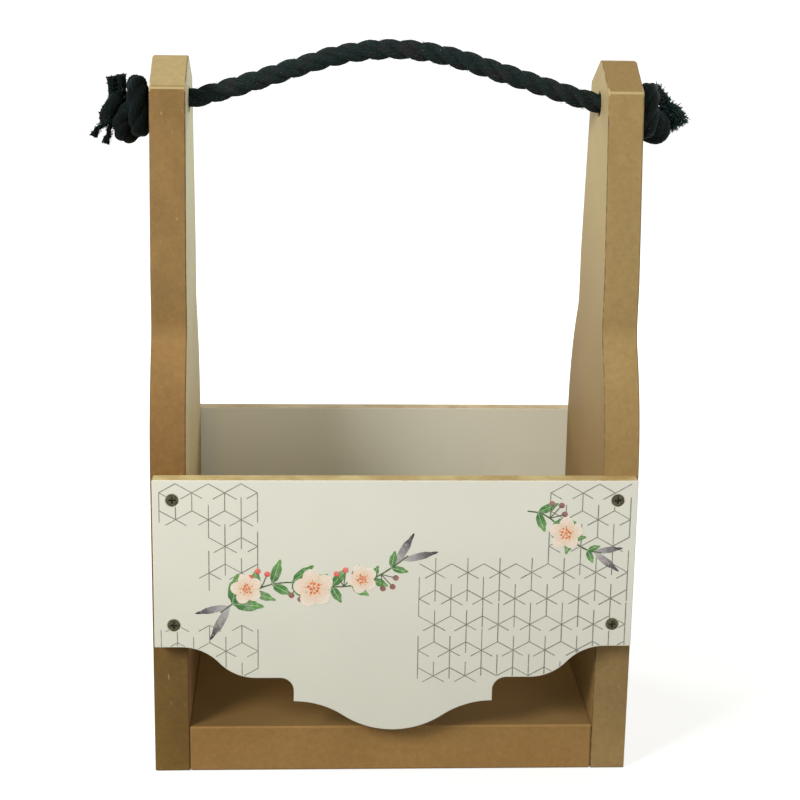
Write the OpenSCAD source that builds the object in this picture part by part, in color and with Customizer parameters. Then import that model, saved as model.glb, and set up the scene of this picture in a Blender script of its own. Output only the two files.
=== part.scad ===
// Wooden bottle carrier: two gabled side boards, a base board, a scalloped front panel,
// a plain back panel and a rope handle that is knotted outside both side boards.
// X runs across the front, Y towards the back, Z up. The origin is the middle of the underside.

/* [Box] */
// Width over the outer faces of the two side boards
overall_w = 246; // [220:1:280]
// Depth of the side boards at the foot, which is the clear depth between the panels
box_depth = 134; // [115:1:160]

/* [Side boards] */
// Thickness of the side boards
board_t = 18; // [15:0.5:24]
// Height of the side boards
board_h = 363; // [335:1:400]
// Depth of the neck just below the gable
neck_w = 59; // [50:1:72]
// Depth of the upright waist between the neck and the flare
waist_w = 85; // [76:1:100]
// Length of the upright waist
waist_len = 22; // [10:1:40]
// Height of the sloping gable
gable_h = 13; // [8:1:20]
// Width of the flat on top of the gable
gable_flat_w = 6; // [3:1:12]
// Height at which the flare leaves the upright foot
flare_foot_h = 157; // [140:1:175]
// Radius of the flare
flare_r = 115; // [100:1:130]
// Radius of the hollow knee between the flare and the waist
knee_r = 20; // [10:1:30]

/* [Base board] */
// Thickness of the base board
base_t = 25; // [18:1:34]

/* [Panels] */
// Thickness of the front and back panels
panel_t = 9; // [6:0.5:12]
// Height of the front panel's top edge above the ground
panel_top_h = 162; // [145:1:175]
// How far the back panel's top edge stays below the front panel's
back_panel_drop = 2.4; // [0:0.2:6]
// How far the panels' ends stay behind the outer faces of the side boards
panel_inset = 1.5; // [0:0.5:3]
// Slit between the base board's top and the lowest point of the scallop
scallop_gap = 2; // [1:0.5:6]
// Rise of the scallop's middle swell
swell_h = 16; // [10:1:20]
// Rise from the end of the swell to the flat above it
step_h = 13; // [9:1:16]
// Radius of the rounded corner on top of that step
step_corner_r = 7; // [3:0.5:8]
// Rise of the shoulder from that flat to the panel's foot
shoulder_h = 17; // [10:1:22]

/* [Screws] */
// Shank diameter of the panel screws
panel_screw_d = 3.5; // [3:0.5:4]
// Length of the panel screws
panel_screw_len = 30; // [25:1:40]
// Head diameter of the panel screws
panel_screw_head_d = 6.4; // [6:0.1:7]
// Distance of the panel screws from the side boards' outer faces
panel_screw_in = 11.5; // [9:0.5:12]
// Distance of the upper panel screws below the panels' top edges
panel_screw_drop = 10.5; // [8:0.5:16]
// Distance of the lower panel screws above the panels' lower edges
panel_screw_rise = 12; // [8:0.5:16]
// Shank diameter of the base screws
base_screw_d = 4; // [3.5:0.5:5]
// Length of the base screws
base_screw_len = 45; // [40:1:60]
// Head diameter of the base screws
base_screw_head_d = 8; // [7.5:0.1:9]
// Distance of the base screws from the front and back edges of the side boards
base_screw_in = 25; // [18:1:35]

/* [Rope handle] */
// Thickness of the rope
rope_d = 9.6; // [8:0.1:9.8]
// Thickness of one loose strand at the rope's ends
strand_d = 4.6; // [4:0.1:5]
// Thickness of the strand that has opened into a brush
brush_d = 8; // [7:0.1:8.5]
// Thickness of the thin yarns that hang out of the brush
yarn_d = 2.9; // [2.4:0.1:3.2]
// Thickness of the frayed strands outside the right board
fray_d = 5.5; // [5:0.1:6]
// Diameter of the rope holes
rope_hole_d = 12; // [11:0.5:14]
// Distance of the rope holes' axis below the top of the side boards
rope_hole_drop = 22; // [18:1:40]

/* [Hidden] */

// Overrun of a cut past the face that it opens
over = 1;
// Sides of a round cut or screw
$fn = 64;
// Steps of one arc in an outline
arc_steps = 12;
// Clearance round a screw
screw_clear = 0.1;
// Free length of a screw hole beyond the screw's point
screw_hole_spare = 1;
// Gap between a side board's face and the start of the knot beside it
knot_face_gap = 0.3;

// Length of a screw's point, as a share of its length
point_share = 0.16;
// Height of a countersunk head, as a share of its diameter
head_share = 0.42;
// Length, width and depth of the cross recess, as shares of the head's diameter
recess_len_share = 0.52;
recess_w_share = 0.13;
recess_depth_share = 0.26;

// Half sizes that several pieces line up with
outer_x = overall_w / 2;
inner_x = outer_x - board_t;
half_depth = box_depth / 2;
panel_half_w = outer_x - panel_inset;

// Heights along the front panel's lower edge, from its lowest point up
scallop_low_h = base_t + scallop_gap;
swell_top_h = scallop_low_h + swell_h;
flat_h = swell_top_h + step_h;
panel_foot_h = flat_h + shoulder_h;
// Places of the step and of both ends of the shoulder, as shares of the panel's half width
step_share = 0.42;
shoulder_start_share = 0.576;
shoulder_end_share = 0.889;

// The back panel laps over the upper half of the base board's edge
back_foot_h = base_t / 2;
back_top_h = panel_top_h - back_panel_drop;

// Places of the screws
panel_screw_x = outer_x - panel_screw_in;
front_screw_heights = [panel_foot_h + panel_screw_rise, panel_top_h - panel_screw_drop];
back_screw_heights = [back_foot_h + panel_screw_rise, back_top_h - panel_screw_drop];
base_screw_y = half_depth - base_screw_in;
base_screw_h = base_t / 2;

// The flare is an arc that stands upright at its foot. The knee is an arc that meets it
// smoothly and runs on into the upright waist.
flare_inset = (box_depth - waist_w) / 2;
arcs_r = flare_r + knee_r;
knee_rise = sqrt(2 * flare_inset * arcs_r - flare_inset * flare_inset);
flare_angle = asin(knee_rise / arcs_r);
waist_foot_h = flare_foot_h + knee_rise;
waist_top_h = waist_foot_h + waist_len;
gable_foot_h = board_h - gable_h;
rope_hole_h = board_h - rope_hole_drop;

// Route of the rope between the side boards: place across, and rise above the holes' axis.
// It is drawn for side boards that stand route_w apart.
route_w = 210;
rope_route = [
    [-105, 0.5], [-96, 2.5], [-84, 6], [-68, 11], [-50, 17], [-32, 22.5], [-16, 25.5], [-2, 26.5],
    [14, 25.5], [32, 22], [50, 16.5], [68, 11], [84, 6], [96, 2.5], [105, 0.5]
];
// Route of the rope through an overhand knot: out from the side board, back, and up
knot_route = [
    [0, 0, 0], [3.5, 0, -1], [8.5, -0.5, -4], [14, -0.5, -8], [16.5, 2, -14.5], [15, 8.5, -19],
    [11, 14, -18], [8.5, 17.5, -13.5], [7, 18, -7.5], [7, 14.5, -1.5], [7.5, 9, 3], [8, 2.5, 7.5],
    [8, -5, 6.5], [7.5, -9.5, 1], [7, -10, -5.5], [7, -7.5, -12], [6.5, -1.5, -14.5],
    [7, 5.5, -12.5], [11.5, 9, -9]
];
// The rope's tails behind the knots: the left one turns up, the right one runs on outwards
left_tail = [[15.8, 10.5, -6], [18.2, 10.5, -1.5], [19, 10, 3]];
right_tail = [[15.8, 11, -7.5], [19.5, 11, -6]];
// The knots' size, as shares of the routes above. The right knot is pulled tighter.
left_pull_share = 1;
right_pull_share = 0.92;
// Thickness and route of the loose strands, as steps from the end of the tail
left_strands = [
    [strand_d, [[-2.2, 0, -1], [-2.3, -0.3, 3.5], [-2.2, -0.6, 8.2]]],
    [strand_d, [[2, 0, -1], [2.2, -0.5, 3.5], [2.6, -0.8, 7.2]]],
    [brush_d, [[-1, -2.5, -3], [2.2, -4, -7.5], [5, -5, -12], [4.5, -6, -16]]],
    [yarn_d, [[4.5, -6, -15], [8, -6, -17.5], [10.6, -6, -20], [12, -6, -22.8]]],
    [yarn_d, [[3, -6, -15], [4.3, -6, -21.5], [6, -6, -26.3]]]
];
right_strands = [
    [fray_d, [[-1, -1, 1], [-0.5, -2, 5], [-3, -3, 9], [-6.5, -3.5, 12]]],
    [fray_d, [[-1, -2, 1], [2.5, -3, 3], [6, -4, 0.5], [8, -5, -4.5]]],
    [fray_d, [[-1, 1, -1.5], [2.5, -0.5, -4], [5.5, -2.5, -6]]]
];
// Sides of the rope and of a strand, and rings for each point of a knot's or a strand's route
rope_sides = 10;
strand_sides = 6;
knot_rings = 2;
strand_rings = 2;

// Points of an arc round a centre, between two angles
function arc_points(centre, r, from, to) = [
    for (i = [0 : arc_steps])
        let (a = from + (to - from) * i / arc_steps)
            centre + r * [cos(a), sin(a)]
];

// Points of a curve that rises level from p and ends level at q, made of two equal arcs
function swell_points(p, q) =
    let (
        run = (q.x - p.x) / 2,
        rise = (q.y - p.y) / 2,
        r = (run * run + rise * rise) / (2 * rise),
        turn = asin(run / r),
        first = arc_points([p.x, p.y + r], r, -90, turn - 90)
    )
    concat(first, [for (i = [arc_steps - 1 : -1 : 0]) p + q - first[i]]);

function mirrored(points) = [for (i = [len(points) - 1 : -1 : 0]) [-points[i].x, points[i].y]];

// Half outline of a side board, from its back lower corner up to the gable
function board_half_outline() =
    let (knee = arc_points([waist_w / 2 + knee_r, waist_foot_h], knee_r, 180 + flare_angle, 180))
    concat(
        [[half_depth, 0]],
        arc_points([half_depth - flare_r, flare_foot_h], flare_r, 0, flare_angle),
        [for (i = [1 : arc_steps]) knee[i]],
        [[waist_w / 2, waist_top_h], [neck_w / 2, gable_foot_h], [gable_flat_w / 2, board_h]]
    );

// Half outline of the front panel, from the middle of its lower edge up to its top corner
function panel_half_outline() =
    let (
        step_x = panel_half_w * step_share,
        shoulder_x = panel_half_w * shoulder_start_share,
        foot_x = panel_half_w * shoulder_end_share
    )
    concat(
        swell_points([0, scallop_low_h], [step_x, swell_top_h]),
        arc_points([step_x + step_corner_r, flat_h - step_corner_r], step_corner_r, 180, 90),
        swell_points([shoulder_x, flat_h], [foot_x, panel_foot_h]),
        [[panel_half_w, panel_foot_h], [panel_half_w, panel_top_h]]
    );

// A plate with its outline in X and Z, from y0 towards the back
module plate_facing_y(y0, t) {
    translate([0, y0 + t, 0])
        rotate([90, 0, 0])
            linear_extrude(t)
                children();
}

// A plate with its outline in Y and Z, from x0 towards the right
module plate_facing_x(x0, t) {
    translate([x0, 0, 0])
        rotate([90, 0, 90])
            linear_extrude(t)
                children();
}

// A countersunk wood screw that points down, with the top of its head at the origin
module wood_screw(d, len, head_d) {
    head_h = head_d * head_share;
    arm = head_d * recess_len_share;
    slot_w = head_d * recess_w_share;
    slot_h = head_d * recess_depth_share;
    difference() {
        rotate_extrude()
            polygon([
                [0, 0], [head_d / 2, 0], [d / 2, -head_h],
                [d / 2, -len * (1 - point_share)], [0, -len]
            ]);
        for (turn = [0, 90])
            rotate([0, 0, turn])
                translate([-arm / 2, -slot_w / 2, -slot_h])
                    cube([arm, slot_w, slot_h + over]);
    }
}

// The hole that such a screw fills, open past its head
module wood_screw_hole(d, len, head_d) {
    head_r = head_d / 2 + screw_clear;
    shank_r = d / 2 + screw_clear;
    rotate_extrude()
        polygon([
            [0, over], [head_r, over], [head_r, 0], [shank_r, -head_d * head_share],
            [shank_r, -len - screw_hole_spare], [0, -len - screw_hole_spare]
        ]);
}

// The four places of a panel's screws. way is -1 for the front and 1 for the back.
module at_panel_screws(way, heights) {
    for (x = [-panel_screw_x, panel_screw_x], h = heights)
        translate([x, way * (half_depth + panel_t), h])
            rotate([-90 * way, 0, 0])
                children();
}

// The two places of a side board's base screws. way is -1 for the left and 1 for the right.
module at_base_screws(way) {
    for (y = [-base_screw_y, base_screw_y])
        translate([way * outer_x, y, base_screw_h])
            rotate([0, 90 * way, 0])
                children();
}

module panel_screw() {
    wood_screw(panel_screw_d, panel_screw_len, panel_screw_head_d);
}

module panel_screw_hole() {
    wood_screw_hole(panel_screw_d, panel_screw_len, panel_screw_head_d);
}

module base_screw() {
    wood_screw(base_screw_d, base_screw_len, base_screw_head_d);
}

module base_screw_hole() {
    wood_screw_hole(base_screw_d, base_screw_len, base_screw_head_d);
}

// A side board with its rope hole and screw holes. way is -1 for the left and 1 for the right.
module side_board(way) {
    half = board_half_outline();
    first_x = way > 0 ? inner_x : -outer_x;
    difference() {
        plate_facing_x(first_x, board_t)
            polygon(concat(half, mirrored(half)));
        translate([first_x - over, 0, rope_hole_h])
            rotate([0, 90, 0])
                cylinder(h = board_t + 2 * over, d = rope_hole_d);
        at_base_screws(way) base_screw_hole();
        at_panel_screws(-1, front_screw_heights) panel_screw_hole();
        at_panel_screws(1, back_screw_heights) panel_screw_hole();
    }
}

module left_side_board() {
    color("#a98f5c") side_board(-1);
}

module right_side_board() {
    color("#a98f5c") side_board(1);
}

module base_board() {
    color("#8c6a3c")
        difference() {
            translate([-inner_x, -half_depth, 0])
                cube([2 * inner_x, box_depth, base_t]);
            at_base_screws(-1) base_screw_hole();
            at_base_screws(1) base_screw_hole();
        }
}

module front_panel() {
    half = panel_half_outline();
    color("#dcdacb")
        difference() {
            plate_facing_y(-half_depth - panel_t, panel_t)
                polygon(concat(half, mirrored(half)));
            at_panel_screws(-1, front_screw_heights) panel_screw_hole();
        }
}

module back_panel() {
    color("#dcdacb")
        difference() {
            translate([-panel_half_w, half_depth, back_foot_h])
                cube([2 * panel_half_w, panel_t, back_top_h - back_foot_h]);
            at_panel_screws(1, back_screw_heights) panel_screw_hole();
        }
}

module front_panel_screws() {
    color("#46462e") at_panel_screws(-1, front_screw_heights) panel_screw();
}

module back_panel_screws() {
    color("#46462e") at_panel_screws(1, back_screw_heights) panel_screw();
}

module left_base_screws() {
    color("#46462e") at_base_screws(-1) base_screw();
}

module right_base_screws() {
    color("#46462e") at_base_screws(1) base_screw();
}

// A smooth curve through the points of a route, with some rings for each of its points
function near_point(p, i) = p[min(max(i, 0), len(p) - 1)];

function curve_point(p, i, t) =
    let (a = near_point(p, i - 1), b = p[i], c = near_point(p, i + 1), d = near_point(p, i + 2))
    b + t * (c - a) / 2 + t * t * (a - 2.5 * b + 2 * c - d / 2) + t * t * t * (3 * (b - c) + d - a) / 2;

function smooth_route(p, rings) = concat(
    [for (i = [0 : len(p) - 2]) for (k = [0 : rings - 1]) curve_point(p, i, k / rings)],
    [near_point(p, len(p))]
);

// Direction at each point of a route, and a side direction carried along it without twisting
function unit(v) = v / norm(v);

function route_ways(p) = [
    for (i = [0 : len(p) - 1]) unit(near_point(p, i + 1) - near_point(p, i - 1))
];

function square_to(side, way) = unit(side - (side * way) * way);

function route_sides(ways) = [
    for (
        i = 0, side = square_to([0, 0, 1], ways[0]);
        i < len(ways);
        i = i + 1, side = i < len(ways) ? square_to(side, ways[i]) : side
    )
        side
];

// A tube along a route, with its first end square to first_way and its last to last_way
module swept_tube(route, d, sides, first_way, last_way) {
    count = len(route);
    middle_ways = route_ways(route);
    ways = [
        for (i = [0 : count - 1])
            i == 0 ? first_way : i == count - 1 ? last_way : middle_ways[i]
    ];
    side_ways = route_sides(ways);
    points = [
        for (i = [0 : count - 1])
            let (u = side_ways[i], v = cross(ways[i], u))
                for (k = [0 : sides - 1])
                    let (a = 360 * (k + 0.5) / sides)
                        route[i] + d / 2 * (cos(a) * u + sin(a) * v)
    ];
    walls = [
        for (i = [0 : count - 2])
            for (k = [0 : sides - 1])
                let (
                    a = i * sides + k,
                    b = i * sides + (k + 1) % sides,
                    c = a + sides,
                    e = b + sides
                )
                    each [[a, c, b], [b, c, e]]
    ];
    first_end = [for (k = [1 : sides - 2]) [0, k, k + 1]];
    last = (count - 1) * sides;
    last_end = [for (k = [1 : sides - 2]) [last, last + k + 1, last + k]];
    polyhedron(points = points, faces = concat(walls, first_end, last_end));
}

module handle_rope() {
    end_x = outer_x + knot_face_gap;
    hole_x = outer_x - board_t / 2;
    stretch = 2 * inner_x / route_w;
    route = concat(
        [[-end_x, 0, rope_hole_h], [-hole_x, 0, rope_hole_h]],
        [for (p = rope_route) [p.x * stretch, 0, rope_hole_h + p.y]],
        [[hole_x, 0, rope_hole_h], [end_x, 0, rope_hole_h]]
    );
    color("#1c2827") swept_tube(route, rope_d, rope_sides, [1, 0, 0], [1, 0, 0]);
}

// Turns a place beside a side board (out, back, up) into a place on the box
function beside_board(p, way) = [way * (outer_x + knot_face_gap + p.x), p.y, rope_hole_h + p.z];

// A knot with its tail, and the loose strands into which the rope comes apart
module knot(way, tail, pull_share, strands) {
    out = [way, 0, 0];
    last = near_point(tail, len(tail)) * pull_share;
    curve = smooth_route(concat(knot_route, tail), knot_rings);
    route = [for (p = curve) beside_board(p * pull_share, way)];
    knot_d = rope_d * pull_share;
    swept_tube(route, knot_d, rope_sides, out, near_point(route_ways(route), len(route)));
    for (strand = strands) {
        steps = smooth_route(strand[1], strand_rings);
        path = [for (p = steps) beside_board(last + p, way)];
        ways = route_ways(path);
        swept_tube(path, strand[0], strand_sides, ways[0], near_point(ways, len(path)));
    }
}

module left_knot() {
    color("#1c2827") knot(-1, left_tail, left_pull_share, left_strands);
}

module right_knot() {
    color("#1c2827") knot(1, right_tail, right_pull_share, right_strands);
}

// Least gap between turns of the knot that lie side by side, past the rings that follow each other
next_rings = 5;
knot_curve = smooth_route(concat(knot_route, left_tail), knot_rings);
knot_gap = min([
    for (i = [0 : len(knot_curve) - 1])
        for (k = [i + 1 : 1 : len(knot_curve) - 1])
            if (k - i > next_rings) norm(knot_curve[i] - knot_curve[k]) - rope_d
]);
echo(knot_gap = knot_gap);

left_side_board();
right_side_board();
base_board();
front_panel();
back_panel();
front_panel_screws();
back_panel_screws();
left_base_screws();
right_base_screws();
handle_rope();
left_knot();
right_knot();
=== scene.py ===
import random
from math import atan2, cos, dist, hypot, pi, radians, sin, sqrt

import bmesh
import bpy
from mathutils import Matrix, Vector


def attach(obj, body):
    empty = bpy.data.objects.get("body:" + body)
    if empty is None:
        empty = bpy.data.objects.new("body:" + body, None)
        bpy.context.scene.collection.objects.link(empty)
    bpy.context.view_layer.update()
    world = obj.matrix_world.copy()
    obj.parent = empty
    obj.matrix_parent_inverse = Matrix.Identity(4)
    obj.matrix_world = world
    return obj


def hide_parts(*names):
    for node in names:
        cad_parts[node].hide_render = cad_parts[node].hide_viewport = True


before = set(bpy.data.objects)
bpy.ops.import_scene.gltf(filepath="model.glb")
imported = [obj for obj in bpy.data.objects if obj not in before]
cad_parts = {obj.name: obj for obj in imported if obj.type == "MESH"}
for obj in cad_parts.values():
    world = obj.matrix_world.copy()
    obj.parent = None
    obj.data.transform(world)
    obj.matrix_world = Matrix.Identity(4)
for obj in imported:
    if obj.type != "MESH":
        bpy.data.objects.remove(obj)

bpy.ops.object.select_all(action="DESELECT")
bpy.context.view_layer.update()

# Sizes of the box, in metres
OUTER_X = 0.123
INNER_X = 0.105
HALF_DEPTH = 0.067
PANEL_T = 0.009
PANEL_HALF_W = 0.1215
PANEL_TOP = 0.162
GABLE_FOOT = 0.350
PANEL_FRONT_Y = -HALF_DEPTH - PANEL_T

# Front panel's screws: place across and heights
SCREW_X = OUTER_X - 0.0115
SCREW_HEIGHTS = (0.1515, 0.085)
# Room that the print leaves round the screws' middles and along the panel's edges
SCREW_CLEAR = 0.0036
PRINT_MARGIN = 0.0006

# Least angle of an edge that is rounded, and the widths of the rounded edges
SHARP_ANGLE = 0.35
BOARD_ARRIS = 0.0008
BASE_ARRIS = 0.0012
PANEL_ARRIS = 0.00045
SCREW_RIM = 0.00022

# Lower edge of the front panel, from its middle outwards: place across and height
SWELL_START = (0.0, 0.027)
SWELL_END = (0.05103, 0.043)
FLAT_Z = 0.056
SHOULDER_START = 0.069984
SHOULDER_END = (0.1080135, 0.073)

# Rope: thickness, radius over its strands, their lay and start angle, height of its holes,
# where its knots start, and heights of its yarns' ridges
CREST_R = 0.0051
ROPE_LAY = 0.0315
ROPE_PHASE = 0.4
HOLE_Z = 0.341
KNOT_X = OUTER_X + 0.0003
YARN_RIDGE = 0.00009
FINE_RIDGE = 0.00006

# Loose hairs of the rope: greatest length, and least and greatest widths
HAIR_LENGTH = 0.0019
FINE_HAIR = (0.00007, 0.00013)
COARSE_HAIR = (0.00013, 0.00022)
# Crest attribute of a cord's cut ends and of its hairs. On the strands it goes from 0 to 1. The
# finish paints shade where it is low and light on the hairs.
END_CREST = 0.4
HAIR_CREST = 1.6

# Route of the rope between the knots: place across, and rise above the holes
ROPE_ROUTE = [
    (-0.1233, 0.0), (-0.114, 0.0), (-0.105, 0.0005), (-0.096, 0.0025), (-0.084, 0.006),
    (-0.068, 0.011), (-0.050, 0.017), (-0.032, 0.0225), (-0.016, 0.0255), (-0.002, 0.0265),
    (0.014, 0.0255), (0.032, 0.022), (0.050, 0.0165), (0.068, 0.011), (0.084, 0.006),
    (0.096, 0.0025), (0.105, 0.0005), (0.114, 0.0), (0.1233, 0.0),
]
# Route of the rope through a knot: out from the side board, back, and up
KNOT_ROUTE = [
    (0, 0, 0), (0.0035, 0, -0.001), (0.0085, -0.0005, -0.004), (0.014, -0.0005, -0.008),
    (0.0165, 0.002, -0.0145), (0.015, 0.0085, -0.019), (0.011, 0.014, -0.018),
    (0.0085, 0.0175, -0.0135), (0.007, 0.018, -0.0075), (0.007, 0.0145, -0.0015),
    (0.0075, 0.009, 0.003), (0.008, 0.0025, 0.0075), (0.008, -0.005, 0.0065),
    (0.0075, -0.0095, 0.001), (0.007, -0.010, -0.0055), (0.007, -0.0075, -0.012),
    (0.0065, -0.0015, -0.0145), (0.007, 0.0055, -0.0125), (0.0115, 0.009, -0.009),
]
LEFT_TAIL = [(0.0158, 0.0105, -0.006), (0.0182, 0.0105, -0.0015), (0.019, 0.010, 0.003)]
RIGHT_TAIL = [(0.0158, 0.011, -0.0075), (0.0195, 0.011, -0.006)]
LEFT_PULL = 1.0
RIGHT_PULL = 0.92

# Loose strands: kind, and route as steps from the end of the tail
LEFT_STRANDS = [
    ("stub", [(-0.0022, 0, -0.001), (-0.0023, -0.0003, 0.0035), (-0.0022, -0.0006, 0.0082)]),
    ("stub", [(0.002, 0, -0.001), (0.0022, -0.0005, 0.0035), (0.0026, -0.0008, 0.0072)]),
    ("brush", [(-0.001, -0.0025, -0.003), (0.0022, -0.004, -0.0075), (0.005, -0.005, -0.012),
               (0.0045, -0.006, -0.016)]),
    ("yarn", [(0.0045, -0.006, -0.015), (0.008, -0.006, -0.0175), (0.0106, -0.006, -0.020),
              (0.012, -0.006, -0.0228)]),
    ("yarn", [(0.003, -0.006, -0.015), (0.0043, -0.006, -0.0215), (0.006, -0.006, -0.0263)]),
]
RIGHT_STRANDS = [
    ("frayed", [(-0.001, -0.001, 0.001), (-0.0005, -0.002, 0.005), (-0.003, -0.003, 0.009),
                (-0.0065, -0.0035, 0.012)]),
    ("frayed", [(-0.001, -0.002, 0.001), (0.0025, -0.003, 0.003), (0.006, -0.004, 0.0005),
                (0.008, -0.005, -0.0045)]),
    ("frayed", [(-0.001, 0.001, -0.0015), (0.0025, -0.0005, -0.004), (0.0055, -0.0025, -0.006)]),
]
# Kind of strand: thickness, yarns in its bundle, growth towards its end, then the length,
# spread and number of the yarn ends in its tip, then its tags for a metre and their length
STRAND_KINDS = {
    "stub": (0.0051, 5, 0.04, 0.0010, 0.55, 130, 8000, 0.0010),
    "brush": (0.0082, 9, -0.10, 0.0026, 0.9, 160, 16000, 0.0020),
    "yarn": (0.0029, 3, 0.40, 0.0009, 0.5, 70, 5000, 0.0006),
    "frayed": (0.0056, 7, 0.05, 0.0028, 1.0, 130, 17000, 0.0026),
}

# Patches of the printed cube lattice: left, right, lower and upper limits
LATTICE_PATCHES = [
    (-0.1205, -0.066, 0.138, 0.1605),
    (-0.099, -0.066, 0.101, 0.139),
    (-0.1205, -0.064, 0.052, 0.0885),
    (0.076, 0.1205, 0.096, 0.1605),
    (0.008, 0.1205, 0.050, 0.122),
]
LATTICE_SIDE = 0.0094
LATTICE_ORIGIN = (0.0855, 0.1415)
# Printed vines: start, end and sway
MIDDLE_VINE = ((-0.088, 0.092), (0.006, 0.122), 0.007)
CORNER_VINE = ((0.066, 0.146), (0.104, 0.124), 0.003)


# Small helpers
def make_active(piece):
    bpy.ops.object.select_all(action="DESELECT")
    piece.select_set(True)
    bpy.context.view_layer.objects.active = piece


def edit(piece):
    make_active(piece)
    bpy.ops.object.mode_set(mode="EDIT")


def leave_edit():
    bpy.ops.object.mode_set(mode="OBJECT")


def colour(code):
    """A colour written as six hex digits, in the linear values that a shader takes"""
    parts = [int(code[i:i + 2], 16) / 255 for i in (0, 2, 4)]
    linear = [p / 12.92 if p <= 0.04045 else ((p + 0.055) / 1.055) ** 2.4 for p in parts]
    return (*linear, 1.0)


def new_object(name, data):
    made = bpy.data.objects.new(name, data)
    bpy.context.scene.collection.objects.link(made)
    return made


def finish_piece(piece, body, slot, *nodes):
    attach(piece, body)
    if nodes:
        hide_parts(*nodes)
    return piece


# Camera, fitted to the corners of the boards and the screws in the photograph
def add_camera():
    yaw = 0.0528829763
    pitch = 0.2666066764
    roll = 0.0169224673
    level_ahead = Vector((sin(yaw), cos(yaw), 0))
    level_right = Vector((cos(yaw), -sin(yaw), 0))
    ahead = cos(pitch) * level_ahead - sin(pitch) * Vector((0, 0, 1))
    above = sin(pitch) * level_ahead + cos(pitch) * Vector((0, 0, 1))
    right = cos(roll) * level_right + sin(roll) * above
    up = cos(roll) * above - sin(roll) * level_right
    data = bpy.data.cameras.new("camera")
    data.sensor_width = 36.0
    data.lens = 84.361084
    data.clip_start = 0.05
    data.clip_end = 60.0
    place = (-0.046072907, -0.964243224, 0.446526145)
    turn = Matrix((right, up, -ahead)).transposed().to_4x4()
    camera = new_object("camera", data)
    camera.matrix_world = Matrix.Translation(place) @ turn
    bpy.context.scene.camera = camera


# Shader nodes
class Nodes:
    """The shader nodes of a new material or world"""

    def __init__(self, owner):
        owner.use_nodes = True
        self.tree = owner.node_tree
        self.tree.nodes.clear()

    def link(self, start, end):
        self.tree.links.new(start, end)

    def feed(self, socket, value):
        """Feeds a socket from another one, from a colour's six hex digits or with a number"""
        if isinstance(value, bpy.types.NodeSocket):
            self.link(value, socket)
        else:
            socket.default_value = colour(value) if isinstance(value, str) else value

    def give(self, node, **values):
        """Feeds a node's named inputs. An underscore in a name stands for a space."""
        for name, value in values.items():
            self.feed(node.inputs[name.replace("_", " ")], value)
        return node

    def add(self, kind, **values):
        return self.give(self.tree.nodes.new(kind), **values)


class Shader(Nodes):
    """The nodes of a finish, with short calls for the ones that these finishes use"""

    def __init__(self, name):
        self.material = bpy.data.materials.new(name)
        super().__init__(self.material)
        self.surface = self.add("ShaderNodeBsdfPrincipled")
        self.add("ShaderNodeOutputMaterial", Surface=self.surface.outputs[0])
        self.places = self.add("ShaderNodeTexCoord").outputs
        self.here = self.places["Object"]

    def stretched(self, scale, coords):
        return self.add("ShaderNodeMapping", Vector=coords, Scale=scale).outputs[0]

    def noise(self, scale, detail=2.0, roughness=0.5, distortion=0.0, coords=None):
        given = dict(Scale=scale, Detail=detail, Roughness=roughness, Distortion=distortion)
        coords = self.here if coords is None else coords
        return self.add("ShaderNodeTexNoise", Vector=coords, **given).outputs[0]

    def sum(self, kind, a, b=0.0, c=0.0):
        node = self.add("ShaderNodeMath")
        node.operation = kind
        for i, value in enumerate((a, b, c)):
            self.feed(node.inputs[i], value)
        return node.outputs[0]

    def times(self, a, b):
        return self.sum("MULTIPLY", a, b)

    def plus(self, a, b):
        return self.sum("ADD", a, b)

    def minus(self, a, b):
        return self.sum("SUBTRACT", a, b)

    def unsigned(self, a):
        return self.sum("ABSOLUTE", a)

    def between(self, value, low, high, to_low=0.0, to_high=1.0):
        given = dict(From_Min=low, From_Max=high, To_Min=to_low, To_Max=to_high)
        node = self.add("ShaderNodeMapRange", Value=value, **given)
        node.interpolation_type = "SMOOTHSTEP"
        return node.outputs[0]

    def mix(self, share, a, b, kind="MIX"):
        node = self.add("ShaderNodeMix")
        node.data_type = "RGBA"
        node.blend_type = kind
        self.feed(node.inputs[0], share)
        self.feed(node.inputs[6], a)
        self.feed(node.inputs[7], b)
        return node.outputs[2]

    def shade(self, tint, amount):
        """The tint times a grey amount"""
        grey = self.add("ShaderNodeCombineColor", Red=amount, Green=amount, Blue=amount)
        return self.mix(1.0, tint, grey.outputs[0], "MULTIPLY")

    def split(self, vector):
        return self.add("ShaderNodeSeparateXYZ", Vector=vector).outputs

    def attribute(self, name):
        node = self.add("ShaderNodeAttribute")
        node.attribute_name = name
        return node.outputs["Fac"]

    def bump(self, height, depth, strength, before=None):
        node = self.add("ShaderNodeBump", Strength=strength, Distance=depth, Height=height)
        if before is not None:
            self.link(before, node.inputs["Normal"])
        return node.outputs[0]

    def set(self, tint, roughness, normal, specular, **others):
        given = dict(Base_Color=tint, Roughness=roughness, Normal=normal)
        self.give(self.surface, Specular_IOR_Level=specular, **given, **others)
        return self.material


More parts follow.
